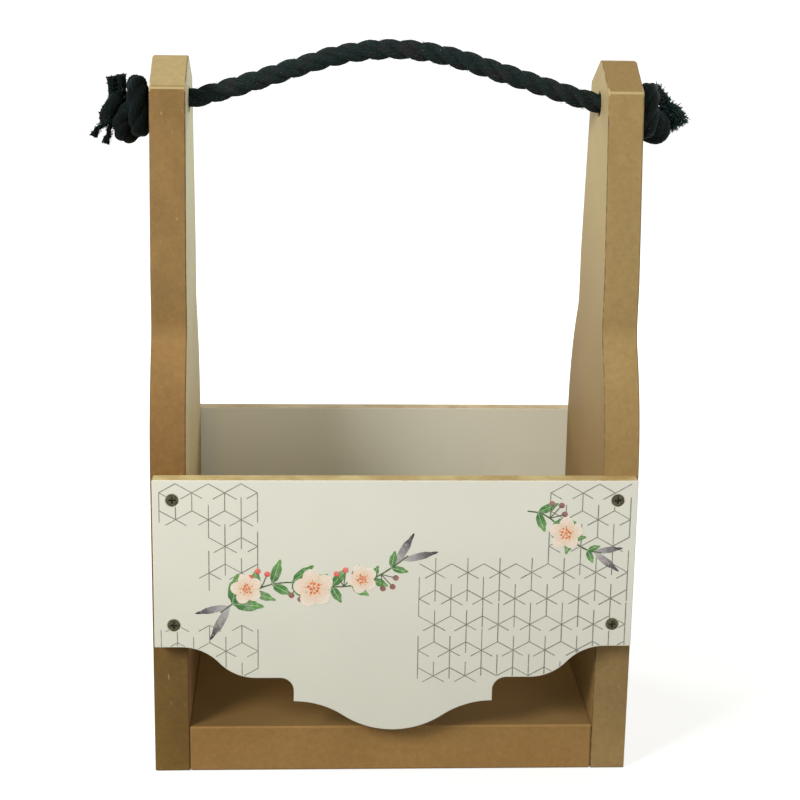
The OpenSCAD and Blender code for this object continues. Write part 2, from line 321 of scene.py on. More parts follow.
# Materials of the boards
def fibreboard(
    name, face_axis, inner_side, face_tones, edge_tones, low_shade_tint, gable, foot_shade_tint, wear_and_light
):
    """Bare fibreboard: smooth faces, browner fuzzy sawn edges, dirty arrises, and painted light and
    shade.

    The faces look along face_axis, and the one on inner_side looks into the bay, where its
    tones darken towards the foot as painted shade. The shade tints multiply the edges low down
    and at the foot as painted shade, gable is the tone of the edges above the gable's foot, and
    the last argument scales the edges' wear together with their painted highlights.
    """
    s = Shader(name)
    _, depth, height = s.split(s.here)
    facing = s.split(s.places["Normal"])[face_axis]
    on_face = s.between(s.unsigned(facing), 0.86, 0.99)

    clouds = s.between(s.noise(14.0, 2.0, 0.5, 0.3), 0.25, 0.75)
    patches = s.between(s.noise(6.0, 2.0, 0.5), 0.38, 0.66)
    fibres = s.noise(1500.0, 3.0, 0.65)
    flecks = s.between(s.noise(900.0, 1.0), 0.72, 0.80)
    specks = s.between(s.noise(620.0, 1.0), 0.75, 0.81)

    outer_face, face_foot, face_low, face_top = face_tones
    # Painted shade: on the inner face the tone darkens towards the foot, inside the bay and under the
    # front panel. The outer face keeps one tone.
    face = s.mix(s.between(height, 0.13, 0.33), face_low, face_top)
    face = s.mix(s.between(height, 0.05, 0.10, 1.0, 0.0), face, face_foot)
    inside = s.between(s.times(facing, inner_side), 0.4, 0.6)
    face = s.mix(inside, outer_face, face)
    if face_axis == 2:
        # Painted shade: the base board's top is darker along its front, under the front panel, and
        # paler towards its middle
        face = s.shade(face, s.between(depth, -HALF_DEPTH, 0.0, 0.74, 1.20))
    face = s.shade(face, s.between(clouds, 0.0, 1.0, 0.94, 1.03))
    face = s.mix(s.times(patches, 0.16), face, "a88a58")
    face = s.shade(face, s.between(fibres, 0.25, 0.75, 0.95, 1.05))

    grain = s.noise(340.0, 4.0, 0.7)
    edge = s.mix(clouds, edge_tones[0], edge_tones[1])
    edge = s.mix(s.times(patches, 0.16), edge, "86703e")
    # Painted shade: the edges are tinted darker under the front panel and low down
    edge = s.mix(s.between(height, 0.060, 0.080, 1.0, 0.0), edge, foot_shade_tint, "MULTIPLY")
    edge = s.mix(s.between(height, 0.16, 0.27, 1.0, 0.0), edge, low_shade_tint, "MULTIPLY")
    # Painted shade: the edges darken towards the bottom
    edge = s.shade(edge, s.between(height, 0.08, 0.30, 0.92, 1.0))
    # Painted light: the edges turn paler again at the very foot, as if lit from the floor
    edge = s.shade(edge, s.between(height, 0.0, 0.045, 1.20 + 0.14 * wear_and_light, 1.0))
    # Painted highlight at the knee, where the edge tilts up towards the light; handling has left the
    # edge blotchy
    knee_highlight = s.times(s.between(height, 0.196, 0.212), s.between(height, 0.224, 0.231, 1.0, 0.0))
    edge = s.shade(edge, s.sum("MULTIPLY_ADD", knee_highlight, 0.16 * wear_and_light, 1.0))
    blotches = s.noise(1.0, 3.0, 0.5, coords=s.stretched((70.0, 70.0, 38.0), s.here))
    uneven = 0.09 * wear_and_light
    edge = s.shade(edge, s.between(blotches, 0.32, 0.68, 1.0 - uneven, 1.0 + uneven))
    edge = s.mix(s.between(height, GABLE_FOOT + 0.0002, GABLE_FOOT + 0.0012), edge, gable)
    edge = s.shade(edge, s.between(grain, 0.25, 0.75, 0.90, 1.08))
    scuffs = s.noise(1.0, 3.0, 0.6, coords=s.stretched((360.0, 360.0, 120.0), s.here))
    edge = s.mix(s.between(scuffs, 0.66, 0.76, 0.0, 0.55 * wear_and_light), edge, "cdb076")
    edge = s.mix(s.times(flecks, 0.20), edge, "c0a670")

    tint = s.mix(on_face, edge, face)
    tint = s.mix(s.times(specks, 0.40), tint, "5a4526")
    arris = s.attribute("arris")
    spotty = s.noise(210.0, 3.0, 0.6)
    dirty = s.times(arris, s.between(spotty, 0.30, 0.62, 0.15, 0.80))
    on_side = s.between(s.unsigned(facing), 0.05, 0.75)
    if face_axis == 0:
        tint = s.mix(s.times(dirty, on_side), tint, "5c4728")
    # Painted highlight along the arris at the gable's foot
    from_foot = s.unsigned(s.minus(height, GABLE_FOOT))
    arris_marks = s.times(arris, s.between(from_foot, 0.0012, 0.0024, 0.55, 0.0))
    tint = s.mix(arris_marks, tint, "d2be8c")

    fuzz = s.times(s.minus(1.0, on_face), grain)
    rough = s.between(fibres, 0.2, 0.8, 0.62, 0.80)
    normal = s.bump(fibres, 0.00006, 0.6)
    normal = s.bump(fuzz, 0.00022, 0.7, normal)
    return s.set(tint, rough, normal, 0.25)


def coated_board(name, front):
    """Off-white coating on a thin board, with raw tan edges"""
    s = Shader(name)
    place = s.split(s.here)
    facing = s.split(s.places["Normal"])
    uneven = s.noise(420.0, 3.0, 0.6)
    mottle = s.noise(30.0, 3.0, 0.5)
    peel = s.noise(900.0, 2.0, 0.5)
    fibres = s.noise(1300.0, 3.0, 0.65)

    # The coat darkens towards the bottom as painted shade. The back panel's coat is darker and warmer
    # than the front's: painted shade, with warm light thrown back from the boards.
    coat_low, coat_high = ("d9d8ca", "e2e1d4") if front else ("d6d1b9", "dfdcca")
    coat = s.mix(s.between(place[2], 0.03, 0.15), coat_low, coat_high)
    coat = s.shade(coat, s.between(mottle, 0.25, 0.75, 0.985, 1.012))
    if not front:
        # Painted light: inside the bay the back panel's coat is paler towards its left end, as if lit
        # by light thrown back from the left board
        left_end = s.between(place[0], -0.105, -0.090)
        paler = s.times(left_end, s.between(place[0], -0.032, 0.004, 0.8, 0.0))
        coat = s.mix(paler, coat, "eee7cf")
    raw_dark, raw_light = ("b39760", "d0bf88") if front else ("b09a74", "cbb792")
    raw = s.mix(s.between(s.noise(60.0, 3.0), 0.3, 0.7), raw_dark, raw_light)
    raw = s.shade(raw, s.between(fibres, 0.25, 0.75, 0.88, 1.10))
    at_side = s.between(s.unsigned(place[0]), PANEL_HALF_W - 0.0008, PANEL_HALF_W - 0.0003)
    raw = s.mix(s.times(at_side, 0.8), raw, "6e5c3e")

    # The coating goes a little way round the faces' rims, and ends in a wavy line
    wavy = s.minus(uneven, 0.5)
    level = s.unsigned(s.minus(s.unsigned(place[1]), HALF_DEPTH + PANEL_T / 2))
    level = s.plus(level, s.times(wavy, 0.0008))
    coated = s.between(level, PANEL_T / 2 - 0.00038, PANEL_T / 2 - 0.00018)
    on_face = s.between(s.unsigned(facing[1]), 0.80, 0.95)
    coated = s.sum("MAXIMUM", coated, on_face)
    tint = s.mix(coated, raw, coat)

    if front:
        # The coating is chipped in a thin ring round each screw
        across = s.minus(s.unsigned(place[0]), SCREW_X)
        for height in SCREW_HEIGHTS:
            rise = s.minus(place[2], height)
            away = s.sum("SQRT", s.plus(s.times(across, across), s.times(rise, rise)))
            away = s.plus(away, s.times(wavy, 0.0012))
            ring = s.between(away, 0.0034, 0.0040, 0.40, 0.0)
            tint = s.mix(ring, tint, "b4a888")

    bare = s.minus(1.0, coated)
    rough = s.plus(s.times(bare, 0.30), s.between(mottle, 0.2, 0.8, 0.42, 0.52))
    grain = s.times(bare, fibres)
    normal = s.bump(peel, 0.00002, 0.5)
    normal = s.bump(grain, 0.00015, 0.8, normal)
    return s.set(tint, rough, normal, 0.4)


def dark_steel():
    """Dark olive-brown coated screw steel, scuffed lighter on its high places"""
    s = Shader("dark_screw_steel")
    rub = s.noise(900.0, 3.0, 0.6)
    fine = s.noise(3800.0, 2.0, 0.6)
    tint = s.mix(s.between(rub, 0.35, 0.7), "32321f", "57563f")
    tint = s.shade(tint, s.between(fine, 0.2, 0.8, 0.85, 1.12))
    rough = s.between(rub, 0.2, 0.8, 0.38, 0.55)
    return s.set(tint, rough, s.bump(fine, 0.00002, 0.5), 0.5, Metallic=0.55)


# Material of the rope: its yarns run along it, so it follows the rope's own map
def twisted_cord(name, shade, hair_light):
    # shade darkens the whole finish as painted shade, and hair_light paints light on the loose hairs
    s = Shader(name)
    along = s.places["UV"]
    yarns = s.noise(1.0, 3.0, 0.6, 0.3, coords=s.stretched((46.0, 260.0, 1.0), along))
    fibres = s.noise(1.0, 3.0, 0.7, coords=s.stretched((160.0, 700.0, 1.0), along))
    patches = s.noise(130.0, 3.0, 0.6)
    crest = s.attribute("crest")
    tint = s.mix(s.between(yarns, 0.32, 0.72), "0d1615", "1e2d2b")
    tint = s.mix(s.between(fibres, 0.64, 0.82, 0.0, 0.45), tint, "3a4e50")
    tint = s.mix(s.between(patches, 0.50, 0.66, 0.0, 0.55), tint, "2a2325")
    sparks = s.noise(1100.0, 1.0)
    tint = s.mix(s.between(sparks, 0.72, 0.78, 0.0, 0.55), tint, "6a7a78")
    # Painted shade: darker in the grooves between the strands, where the crest is low
    tint = s.shade(tint, s.between(crest, 0.0, 0.8, 0.50, 1.0))
    # Painted light: loose hairs are made brighter, and their attribute is above that of the rope
    # itself
    tint = s.shade(tint, s.between(crest, 1.05, 1.5, shade, hair_light))
    normal = s.bump(yarns, 0.00045, 0.9)
    normal = s.bump(fibres, 0.00018, 0.8, normal)
    sheen = dict(Sheen_Weight=0.05 * shade, Sheen_Roughness=0.5, Sheen_Tint="5a7070")
    return s.set(tint, s.between(fibres, 0.2, 0.8, 0.78, 0.95), normal, 0.16 * shade, **sheen)


# Smooth curve through the points of a route
def smooth_route(points, rings):
    points = [Vector(p) for p in points]
    last = len(points) - 1
    curve = []
    for i in range(last):
        a = points[max(i - 1, 0)]
        b = points[i]
        c = points[i + 1]
        d = points[min(i + 2, last)]
        for k in range(rings):
            t = k / rings
            bent = t * (c - a) / 2 + t * t * (a - 2.5 * b + 2 * c - d / 2)
            curve.append(b + bent + t ** 3 * (3 * (b - c) + d - a) / 2)
    curve.append(points[last])
    return curve


def route_length(curve):
    return sum((curve[i + 1] - curve[i]).length for i in range(len(curve) - 1))


def lobe_height(angle, lobes, fullness):
    """Radius of a bundle of round strands at an angle, as a share of its largest radius"""
    half = pi / lobes
    away = (angle + half) % (2 * half) - half
    lift = fullness * cos(away)
    lift += sqrt(max(1 - (fullness * sin(away)) ** 2, 0))
    return lift / (fullness + 1)


class CordMesh:
    """Points, faces and their attributes of one piece of rope"""

    def __init__(self, seed):
        self.points = []
        self.faces = []
        self.maps = []
        self.crests = []
        self.pick = random.Random(seed)
        self.draw = self.pick.uniform

    def face(self, corners, places):
        """A face, with the places of its corners on the cord's map"""
        self.faces.append(corners)
        self.maps.append(places)

    def tube(self, curve, first_way, side, radius, lobes, fullness, lay, phase, sides, ripples):
        """Sweeps a bundle of twisted strands along a curve.

        radius is a function of the length run. Each strand is a lobe of the bundle, which turns
        once in every lay and starts at phase. ripples is the number of yarns that show round it.
        """
        count = len(curve)
        start = len(self.points)
        run = 0.0
        frames = []
        wobble = [self.draw(0, 6.28) for _ in range(6)]
        for i, place in enumerate(curve):
            # The ring of points round this place
            way = curve[min(i + 1, count - 1)] - curve[max(i - 1, 0)]
            way = Vector(first_way) if i == 0 else way.normalized()
            side = (side - side.dot(way) * way).normalized()
            other = way.cross(side)
            if i:
                run += (place - curve[i - 1]).length
            frames.append((place, side, other, way, run))
            base = radius(run)
            lump = 1 + 0.012 * sin(run * 260 + wobble[3])
            lump += 0.010 * sin(run * 97 + wobble[4])
            slip = 0.5 * sin(run * 420 + wobble[0])
            slip += 0.8 * sin(run * 170 + wobble[1])
            for k in range(sides):
                turn = 2 * pi * k / sides
                bundle = turn - phase - 2 * pi * run / lay
                lift = lobe_height(bundle, lobes, fullness)
                ridge = 0.0
                if ripples:
                    ridge = YARN_RIDGE * cos(ripples * turn + slip)
                    ridge += FINE_RIDGE * sin(ripples * 0.5 * turn + run * 900 + wobble[2])
                reach = base * lift * lump + ridge * min(base / 0.004, 1.0)
                out = cos(turn) * side + sin(turn) * other
                self.points.append(place + reach * out)
                self.crests.append(max(0.0, min(1.0, (lift - 0.55) / 0.45)))
        for i in range(count - 1):
            for k in range(sides):
                a = start + i * sides + k
                b = start + i * sides + (k + 1) % sides
                u = k / sides
                v = frames[i][4]
                w = frames[i + 1][4]
                places = [(u, v), (u + 1 / sides, v), (u + 1 / sides, w), (u, w)]
                self.face((a, b, b + sides, a + sides), places)
        for ring, turned in ((0, True), (count - 1, False)):
            middle = len(self.points)
            self.points.append(frames[ring][0].copy())
            self.crests.append(END_CREST)
            first = start + ring * sides
            for k in range(sides):
                a = first + k
                b = first + (k + 1) % sides
                v = frames[ring][4]
                places = [(0.5, v), (k / sides, v), (k / sides, v)]
                self.face((middle, b, a) if turned else (middle, a, b), places)
        return frames

    def hair(self, root, way, length, width, bend):
        """A thin tapered closed spike that stands on the rope"""
        way = way.normalized()
        side = way.orthogonal().normalized()
        other = way.cross(side)
        start = len(self.points)
        half = root + way * length * 0.5 + bend * length * 0.12
        tip = root + way * length + bend * length * 0.45
        for place, thick in ((root, width), (half, width * 0.7)):
            for k in range(3):
                turn = 2 * pi * k / 3
                out = cos(turn) * side + sin(turn) * other
                self.points.append(place + thick / 2 * out)
        self.points.append(tip)
        self.crests += [HAIR_CREST] * 7
        u = self.pick.random()
        v = self.pick.random() * 0.2
        self.face((start + 2, start + 1, start), [(u, v)] * 3)
        for k in range(3):
            a = start + k
            b = start + (k + 1) % 3
            self.face((a, b, b + 3, a + 3), [(u, v), (u, v), (u, v + 0.001), (u, v + 0.001)])
            self.face((a + 3, b + 3, start + 6), [(u, v), (u, v), (u, v + 0.002)])

    def somewhere(self, frames):
        """A random middle of a tube, with its ways along and out"""
        place, side, other, way, _ = self.pick.choice(frames)
        turn = self.draw(0, 2 * pi)
        return place, way, cos(turn) * side + sin(turn) * other

    def loose(self, root, lean, longest, lengths, widths):
        """A hair with a random bend, and a length given as shares of the longest"""
        bend = Vector([self.draw(-1, 1) for _ in range(3)])
        length = longest * self.draw(*lengths)
        self.hair(root, lean, length, self.draw(*widths), bend)

    def fuzz(self, frames, reach, count, longest, widths, allowed=None):
        """Fine short hairs all over a tube"""
        for _ in range(count):
            place, way, out = self.somewhere(frames)
            root = place + out * reach * 0.90
            if allowed and not allowed(root):
                continue
            lean = way * self.draw(-1.6, 1.6) + out * self.draw(0.6, 1.3)
            lean += way.cross(out) * self.draw(-0.8, 0.8)
            self.loose(root, lean, longest, (0.35, 1.0), widths)

    def tags(self, frames, reach, count, longest):
        """Short thick tags of loosened yarn that make a tube look ragged"""
        for _ in range(count):
            place, way, out = self.somewhere(frames)
            root = place + out * reach * 0.82
            lean = way * self.draw(-0.5, 1.3) + out * self.draw(0.25, 1.0)
            lean += way.cross(out) * self.draw(-0.7, 0.7)
            self.loose(root, lean, longest, (0.6, 1.4), (0.0005, 0.0011))

    def tuft(self, place, way, radius, count, longest, spread):
        """The frayed end of a strand: a brush of short yarn ends"""
        way = way.normalized()
        side = way.orthogonal().normalized()
        other = way.cross(side)
        for _ in range(count):
            turn = self.draw(0, 2 * pi)
            away = radius * sqrt(self.pick.random())
            out = cos(turn) * side + sin(turn) * other
            root = place + out * away - way * 0.0009
            lean = way + out * spread * (away / radius) * self.draw(0.4, 1.4)
            self.loose(root, lean, longest, (0.5, 1.0), (0.0004, 0.0008))

    def piece(self, name, material):
        mesh = bpy.data.meshes.new(name)
        mesh.from_pydata([tuple(p) for p in self.points], [], self.faces)
        layer = mesh.uv_layers.new(name="along")
        flat = [n for corners in self.maps for corner in corners for n in corner]
        layer.data.foreach_set("uv", flat)
        crest = mesh.attributes.new("crest", "FLOAT", "POINT")
        crest.data.foreach_set("value", self.crests)
        mesh.materials.append(material)
        made = new_object(name, mesh)
        make_active(made)
        bpy.ops.object.shade_smooth()
        return made


def add_rope(material):
    """The rope between and through the side boards"""
    route = [(x, 0.0, HOLE_Z + rise) for x, rise in ROPE_ROUTE]
    curve = smooth_route(route, 18)
    cord = CordMesh(11)
    strands = (3, 0.70, ROPE_LAY, ROPE_PHASE, 108, 27)
    frames = cord.tube(curve, (1, 0, 0), Vector((0, 0, 1)), lambda run: CREST_R, *strands)
    free = [f for f in frames if abs(f[0].x) < INNER_X - 0.003]
    cord.fuzz(free, CREST_R, 1900, HAIR_LENGTH, FINE_HAIR)
    cord.fuzz(free, CREST_R, 420, HAIR_LENGTH, COARSE_HAIR)
    rope = cord.piece("twisted_rope", material)
    finish_piece(rope, "handle", "dark_rope", "handle_rope")
    return rope, curve, frames[-1][4]


def beside_board(place, way):
    return Vector((way * (KNOT_X + place[0]), place[1], HOLE_Z + place[2]))


def add_loose_strand(cord, kind, points, turn):
    """A strand that has come out of the rope's lay, with its frayed tip"""
    thick, lobes, growth, tip_length, spread, ends, tags, tag_length = STRAND_KINDS[kind]
    strand = smooth_route(points, 9)
    long = route_length(strand)

    def strand_radius(run):
        rise = max(0.0, run / long - 0.45) / 0.55
        end = max(0.0, 1 - (long - run) / 0.0012)
        return thick / 2 * (1.0 + growth * rise * rise * (3 - 2 * rise)) * (1 - 0.25 * end * end)

    start_way = (strand[1] - strand[0]).normalized()
    yarns = (lobes, 1.25, -0.014, turn, 8 * lobes, 0)
    made = cord.tube(strand, start_way, Vector((0.1, 1, 0.1)), strand_radius, *yarns)
    place, _, _, ahead, _ = made[-1]
    reach = thick / 2 * (1.0 + growth)
    cord.tuft(place, ahead, reach * 0.85, ends, tip_length, spread)
    cord.fuzz(made[3:], reach, int(long * 9000), 0.0018, (0.00008, 0.00018))
    cord.tags(made[4:], reach, int(long * tags), tag_length)


def add_knot(side, way, tail, pull, strands, phase, material, seed):
    """The overhand knot outside a side board, with its frayed strands"""
    cord = CordMesh(seed)
    curve = smooth_route([beside_board(Vector(p) * pull, way) for p in KNOT_ROUTE + tail], 8)
    out = Vector((way, 0, 0))
    whole = route_length(curve)

    def knot_radius(run):
        """As thick as the rope beside the board, and squeezed where the turns lie on each other"""
        tight = CREST_R * (1 - (1 - 0.965 * pull) * min(run / 0.012, 1.0))
        if run > whole - 0.003:
            return tight * (1 - 0.20 * ((run - whole + 0.003) / 0.003) ** 2)
        return tight

    def off_the_board(root):
        return abs(root.x) > OUTER_X + 0.0025

    frames = cord.tube(curve, out, Vector((0, 0, 1)), knot_radius, 3, 0.55, ROPE_LAY, phase, 96, 24)
    cord.fuzz(frames[12:], CREST_R * pull, 900, 0.0018, (0.00007, 0.00014), off_the_board)
    cord.tags(frames[-26:], CREST_R * pull * 0.94, 150, 0.0016)
    for index, (kind, steps) in enumerate(strands):
        points = [beside_board(Vector(tail[-1]) * pull + Vector(s), way) for s in steps]
        add_loose_strand(cord, kind, points, index * 1.1)
    cord.tuft(frames[-1][0], frames[-1][3], CREST_R * pull * 0.8, 60, 0.0022, 0.8)
    knot = cord.piece(side + "_rope_knot", material)
    return finish_piece(knot, "handle", "dark_rope", side + "_knot")


# Boards and panels: a merged copy of the CAD node, with its edges rounded
def merged_copy(node, name, material):
    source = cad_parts[node]
    piece = new_object(name, source.data.copy())
    piece.data.transform(source.matrix_world)
    piece.data.materials.clear()
    piece.data.materials.append(material)
    edit(piece)
    bpy.ops.mesh.customdata_custom_splitnormals_clear()
    bpy.ops.mesh.select_all(action="SELECT")
    bpy.ops.mesh.remove_doubles(threshold=0.000002)
    bpy.ops.mesh.dissolve_limited(angle_limit=0.002)
    leave_edit()
    return piece


def round_edges(piece, wanted, width, segments):
    """Rounds the sharp edges that wanted picks by their ends, and marks the new faces in the arris
    attribute, which the board finishes use for dirt and a painted highlight
    """
    edit(piece)
    bpy.ops.mesh.select_mode(type="EDGE")
    bpy.ops.mesh.select_all(action="DESELECT")
    shape = bmesh.from_edit_mesh(piece.data)
    for line in shape.edges:
        if len(line.link_faces) != 2 or line.calc_face_angle() < SHARP_ANGLE:
            continue
        if wanted(line.verts[0].co, line.verts[1].co):
            line.select_set(True)
    bmesh.update_edit_mesh(piece.data)
    bevel = dict(offset=width, segments=segments, profile=0.5, clamp_overlap=False)
    bpy.ops.mesh.bevel(affect="EDGES", **bevel)
    shape = bmesh.from_edit_mesh(piece.data)
    arris_marks = shape.faces.layers.float.get("arris") or shape.faces.layers.float.new("arris")
    for face in shape.faces:
        if face.select and 2 * face.calc_area() / face.calc_perimeter() < width:
            face[arris_marks] = 1.0
    bmesh.update_edit_mesh(piece.data)
    bpy.ops.mesh.select_mode(type="VERT")
    leave_edit()


def soften(piece):
    """Smooth shading that keeps large flat faces flat"""
    make_active(piece)
    bpy.ops.object.shade_smooth_by_angle(angle=radians(40))
    bpy.ops.object.modifier_add(type="WEIGHTED_NORMAL")
    even = piece.modifiers[-1]
    even.keep_sharp = True
    even.weight = 80
    bpy.ops.object.modifier_apply(modifier=even.name)


def outline_edge(a, b):
    """An edge of a board's outline or rope hole. Those round a screw hole are shorter."""
    return (a - b).length > 0.00045


def dress(node, name, slot, material, width, segments, wanted=outline_edge):
    """A copy of a CAD node with rounded edges, which takes the node's place"""
    piece = merged_copy(node, name, material)
    round_edges(piece, wanted, width, segments)
    soften(piece)
    finish_piece(piece, "box", slot, node)


def add_side_board(side, material):
    node = side + "_side_board"
    dress(node, side + "_board_dressed", "bare_board", material, BOARD_ARRIS, 3)


def add_base_board(material):
    dress("base_board", "base_board_dressed", "bare_board", material, BASE_ARRIS, 4)


def add_panel(side, material):
    node = side + "_panel"
    dress(node, node + "_dressed", "coated_panel", material, PANEL_ARRIS, 3)


def add_screws(node, name, material, on_rim):
    """Screws with a softened rim on their heads"""
    dress(node, name, "screw_steel", material, SCREW_RIM, 2, lambda a, b: on_rim(a) and on_rim(b))


# Printed design: thin closed shapes that lie in the front panel's face
def thick_template(change=None):
    """Makes the flat outline just added, one unit long from the origin, a unit thick"""
    shape = bpy.context.object
    bpy.ops.object.transform_apply(location=True, rotation=False, scale=False)
    bpy.ops.object.mode_set(mode="EDIT")
    if change:
        change(shape)
    bpy.ops.mesh.select_all(action="SELECT")
    bpy.ops.mesh.extrude_region_move(TRANSFORM_OT_translate={"value": (0, 0, -1)})
    bpy.ops.mesh.select_all(action="SELECT")
    bpy.ops.mesh.normals_make_consistent(inside=False)
    leave_edit()
    mesh = shape.data
    bpy.data.objects.remove(shape)
    return mesh


def round_template(corners, change=None):
    middle = (0.5, 0, 0)
    bpy.ops.mesh.primitive_circle_add(vertices=corners, radius=0.5, fill_type="NGON", location=middle)
    return thick_template(change)


def narrow(shape, wanted, share):
    """Narrows an outline where wanted says so of the place along it"""
    bpy.ops.mesh.select_mode(type="VERT")
    bpy.ops.mesh.select_all(action="DESELECT")
    points = bmesh.from_edit_mesh(shape.data)
    for point in points.verts:
        point.select_set(wanted(point.co.x))
    bmesh.update_edit_mesh(shape.data)
    bpy.ops.transform.resize(value=(1, share, 1), center_override=(0.5, 0, 0))


def pointed_leaf(shape):
    narrow(shape, lambda x: x > 0.75, 0.62)
    narrow(shape, lambda x: x < 0.2, 0.55)


def round_petal(shape):
    narrow(shape, lambda x: x < 0.35, 0.55)


def strip_template():
    """A straight line one unit long and wide"""
    bpy.ops.mesh.primitive_plane_add(size=1, location=(0.5, 0, 0))
    return thick_template()


class Print:
    """One colour group of the printed design. No two shapes have their faces at one height."""

    # The last face's height over the panel, its growth with each shape, and the shapes' root
    height = 0.00004
    step = 0.00000025
    root = 0.00012

    def __init__(self, name):
        self.name = name
        self.shape = bmesh.new()
        self.along = self.shape.verts.layers.float.new("along")
        self.tone = self.shape.verts.layers.float.new("tone")

    def put(self, template, place, angle, length, width, tone):
        """A copy of a template on the panel, at a place across and up"""
        Print.height += Print.step
        thick = Print.root + Print.height
        turn = Matrix((
            (cos(angle) * length, -sin(angle) * width, 0, place[0]),
            (0, 0, -thick, PANEL_FRONT_Y - Print.height),
            (sin(angle) * length, cos(angle) * width, 0, place[1]),
            (0, 0, 0, 1),
        ))
        first = len(self.shape.verts)
        self.shape.from_mesh(template)
        self.shape.verts.ensure_lookup_table()
        for point in self.shape.verts[first:]:
            point[self.along] = point.co.x
            point[self.tone] = tone
            point.co = turn @ point.co

    def piece(self, material):
        mesh = bpy.data.meshes.new(self.name)
        self.shape.to_mesh(mesh)
        self.shape.free()
        mesh.materials.append(material)
        finish_piece(new_object(self.name, mesh), "box", "coated_panel")


def printed_ink(name, base, tip, deep, wash):
    """Watered ink: it runs from one colour to another along a shape, in uneven washes"""
    s = Shader(name)
    pool = s.noise(520.0, 3.0, 0.6)
    tint = s.mix(s.between(s.attribute("along"), 0.05, 0.95), base, tip)
    tint = s.mix(s.times(s.attribute("tone"), 0.8), tint, deep)
    tint = s.mix(s.between(pool, 0.45, 0.75, 0.0, wash), tint, "e6e2d4")
    fine = s.noise(1400.0, 2.0, 0.6)
    tint = s.shade(tint, s.between(fine, 0.2, 0.8, 0.90, 1.06))
    return s.set(tint, s.between(pool, 0.2, 0.8, 0.44, 0.54), s.bump(fine, 0.00001, 0.4), 0.4)


def swell_height(x, start, end):
    """Height of a curve that rises level from start and ends level at end, in two equal arcs"""
    run = (end[0] - start[0]) / 2
    rise = (end[1] - start[1]) / 2
    r = (run * run + rise * rise) / (2 * rise)
    if x < start[0] + run:
        return start[1] + r - sqrt(r * r - (x - start[0]) ** 2)
    return end[1] - r + sqrt(r * r - (end[0] - x) ** 2)


def panel_lower_edge(x):
    x = abs(x)
    if x < SWELL_END[0]:
        return swell_height(x, SWELL_START, SWELL_END)
    if x < SHOULDER_START:
        return FLAT_Z
    if x < SHOULDER_END[0]:
        return swell_height(x, (SHOULDER_START, FLAT_Z), SHOULDER_END)
    return SHOULDER_END[1]


def on_panel(x, z):
    inside = abs(x) < PANEL_HALF_W - PRINT_MARGIN and z < PANEL_TOP - PRINT_MARGIN
    step = abs(abs(x) - SWELL_END[0]) < 0.0075 and z < FLAT_Z + 0.001
    return inside and not step and z > panel_lower_edge(x) + PRINT_MARGIN


def in_lattice(x, z):
    return any(left < x < right and low < z < high for left, right, low, high in LATTICE_PATCHES)


def stepped(x, z, angle, length):
    """The place on the panel that lies a length away at an angle"""
    return (x + cos(angle) * length, z + sin(angle) * length)


def clear_run(x, z, angle, length):
    """The longest stretch of a line that lies on the panel and beside its screws"""
    longest = (0.0, 0.0)
    start = None
    steps = 40
    for step in range(steps + 1):
        run = length * step / steps
        across, up = stepped(x, z, angle, run)
        beside = min(hypot(abs(across) - SCREW_X, up - height) for height in SCREW_HEIGHTS)
        if not on_panel(across, up) or beside < SCREW_CLEAR:
            start = None
            continue
        if start is None:
            start = run
        if run - start > longest[1] - longest[0]:
            longest = (start, run)
    return longest


def add_lattice(strip, material):
    """Thin lines of stacked cubes. Every third corner of the lattice is left open."""
    lines = Print("printed_lattice")
    pick = random.Random(5)
    across = LATTICE_SIDE * cos(radians(30))
    for i in range(-30, 10):
        for j in range(-30, 30):
            if (i - j) % 3 != 0:
                continue
            x = LATTICE_ORIGIN[0] + i * across
            z = LATTICE_ORIGIN[1] + (j + i / 2) * LATTICE_SIDE
            if abs(x) > 0.14 or abs(z - 0.1) > 0.09:
                # This corner is far off the panel
                continue
            for k in range(6):
                angle = radians(30 + 60 * k)
                # Every second line stops short of the next corner, and some run past it
                share = 1.0 if k % 2 == 0 else pick.uniform(0.60, 0.74)
                if k == 1:
                    share = pick.choice((0.83, 0.83, 1.25))
                if k == 4 and pick.random() < 0.4:
                    share = 1.65
                length = LATTICE_SIDE * share
                if not in_lattice(*stepped(x, z, angle, length)) or not in_lattice(x, z):
                    continue
                start, end = clear_run(x, z, angle, length)
                if end - start < LATTICE_SIDE / 6:
                    continue
                near = stepped(x, z, angle, start)
                width = pick.uniform(0.00040, 0.00052)
                lines.put(strip, near, angle, end - start, width, pick.random())
    lines.piece(material)


def vine_point(vine, t):
    """Place and direction on a softly swinging stem"""
    low, high, sway = vine
    across = high[0] - low[0]
    rise = high[1] - low[1]
    place = (low[0] + across * t, low[1] + rise * t + sway * sin(2 * pi * t))
    return place, atan2(rise + sway * 2 * pi * cos(2 * pi * t), across)


def add_vine(groups, shapes, vine, count, size, pick):
    """A stem with leaves on both sides"""
    steps = 26
    for i in range(steps):
        here, _ = vine_point(vine, i / steps)
        there, _ = vine_point(vine, (i + 1) / steps)
        angle = atan2(there[1] - here[1], there[0] - here[0])
        length = dist(here, there) * 1.12
        groups["stems"].put(shapes["strip"], here, angle, length, 0.0007, 0.4)
    for i in range(count):
        t = (i + 0.6) / (count + 0.4)
        place, way = vine_point(vine, t)
        for side in (-1, 1):
            angle = way + side * radians(pick.uniform(38, 62))
            length = size * pick.uniform(0.75, 1.1) * (1.1 - 0.5 * t)
            width = length * pick.uniform(0.34, 0.44)
            groups["leaves"].put(shapes["leaf"], place, angle, length, width, pick.random())
            groups["veins"].put(shapes["strip"], place, angle, length * 0.82, 0.00028, 0.5)


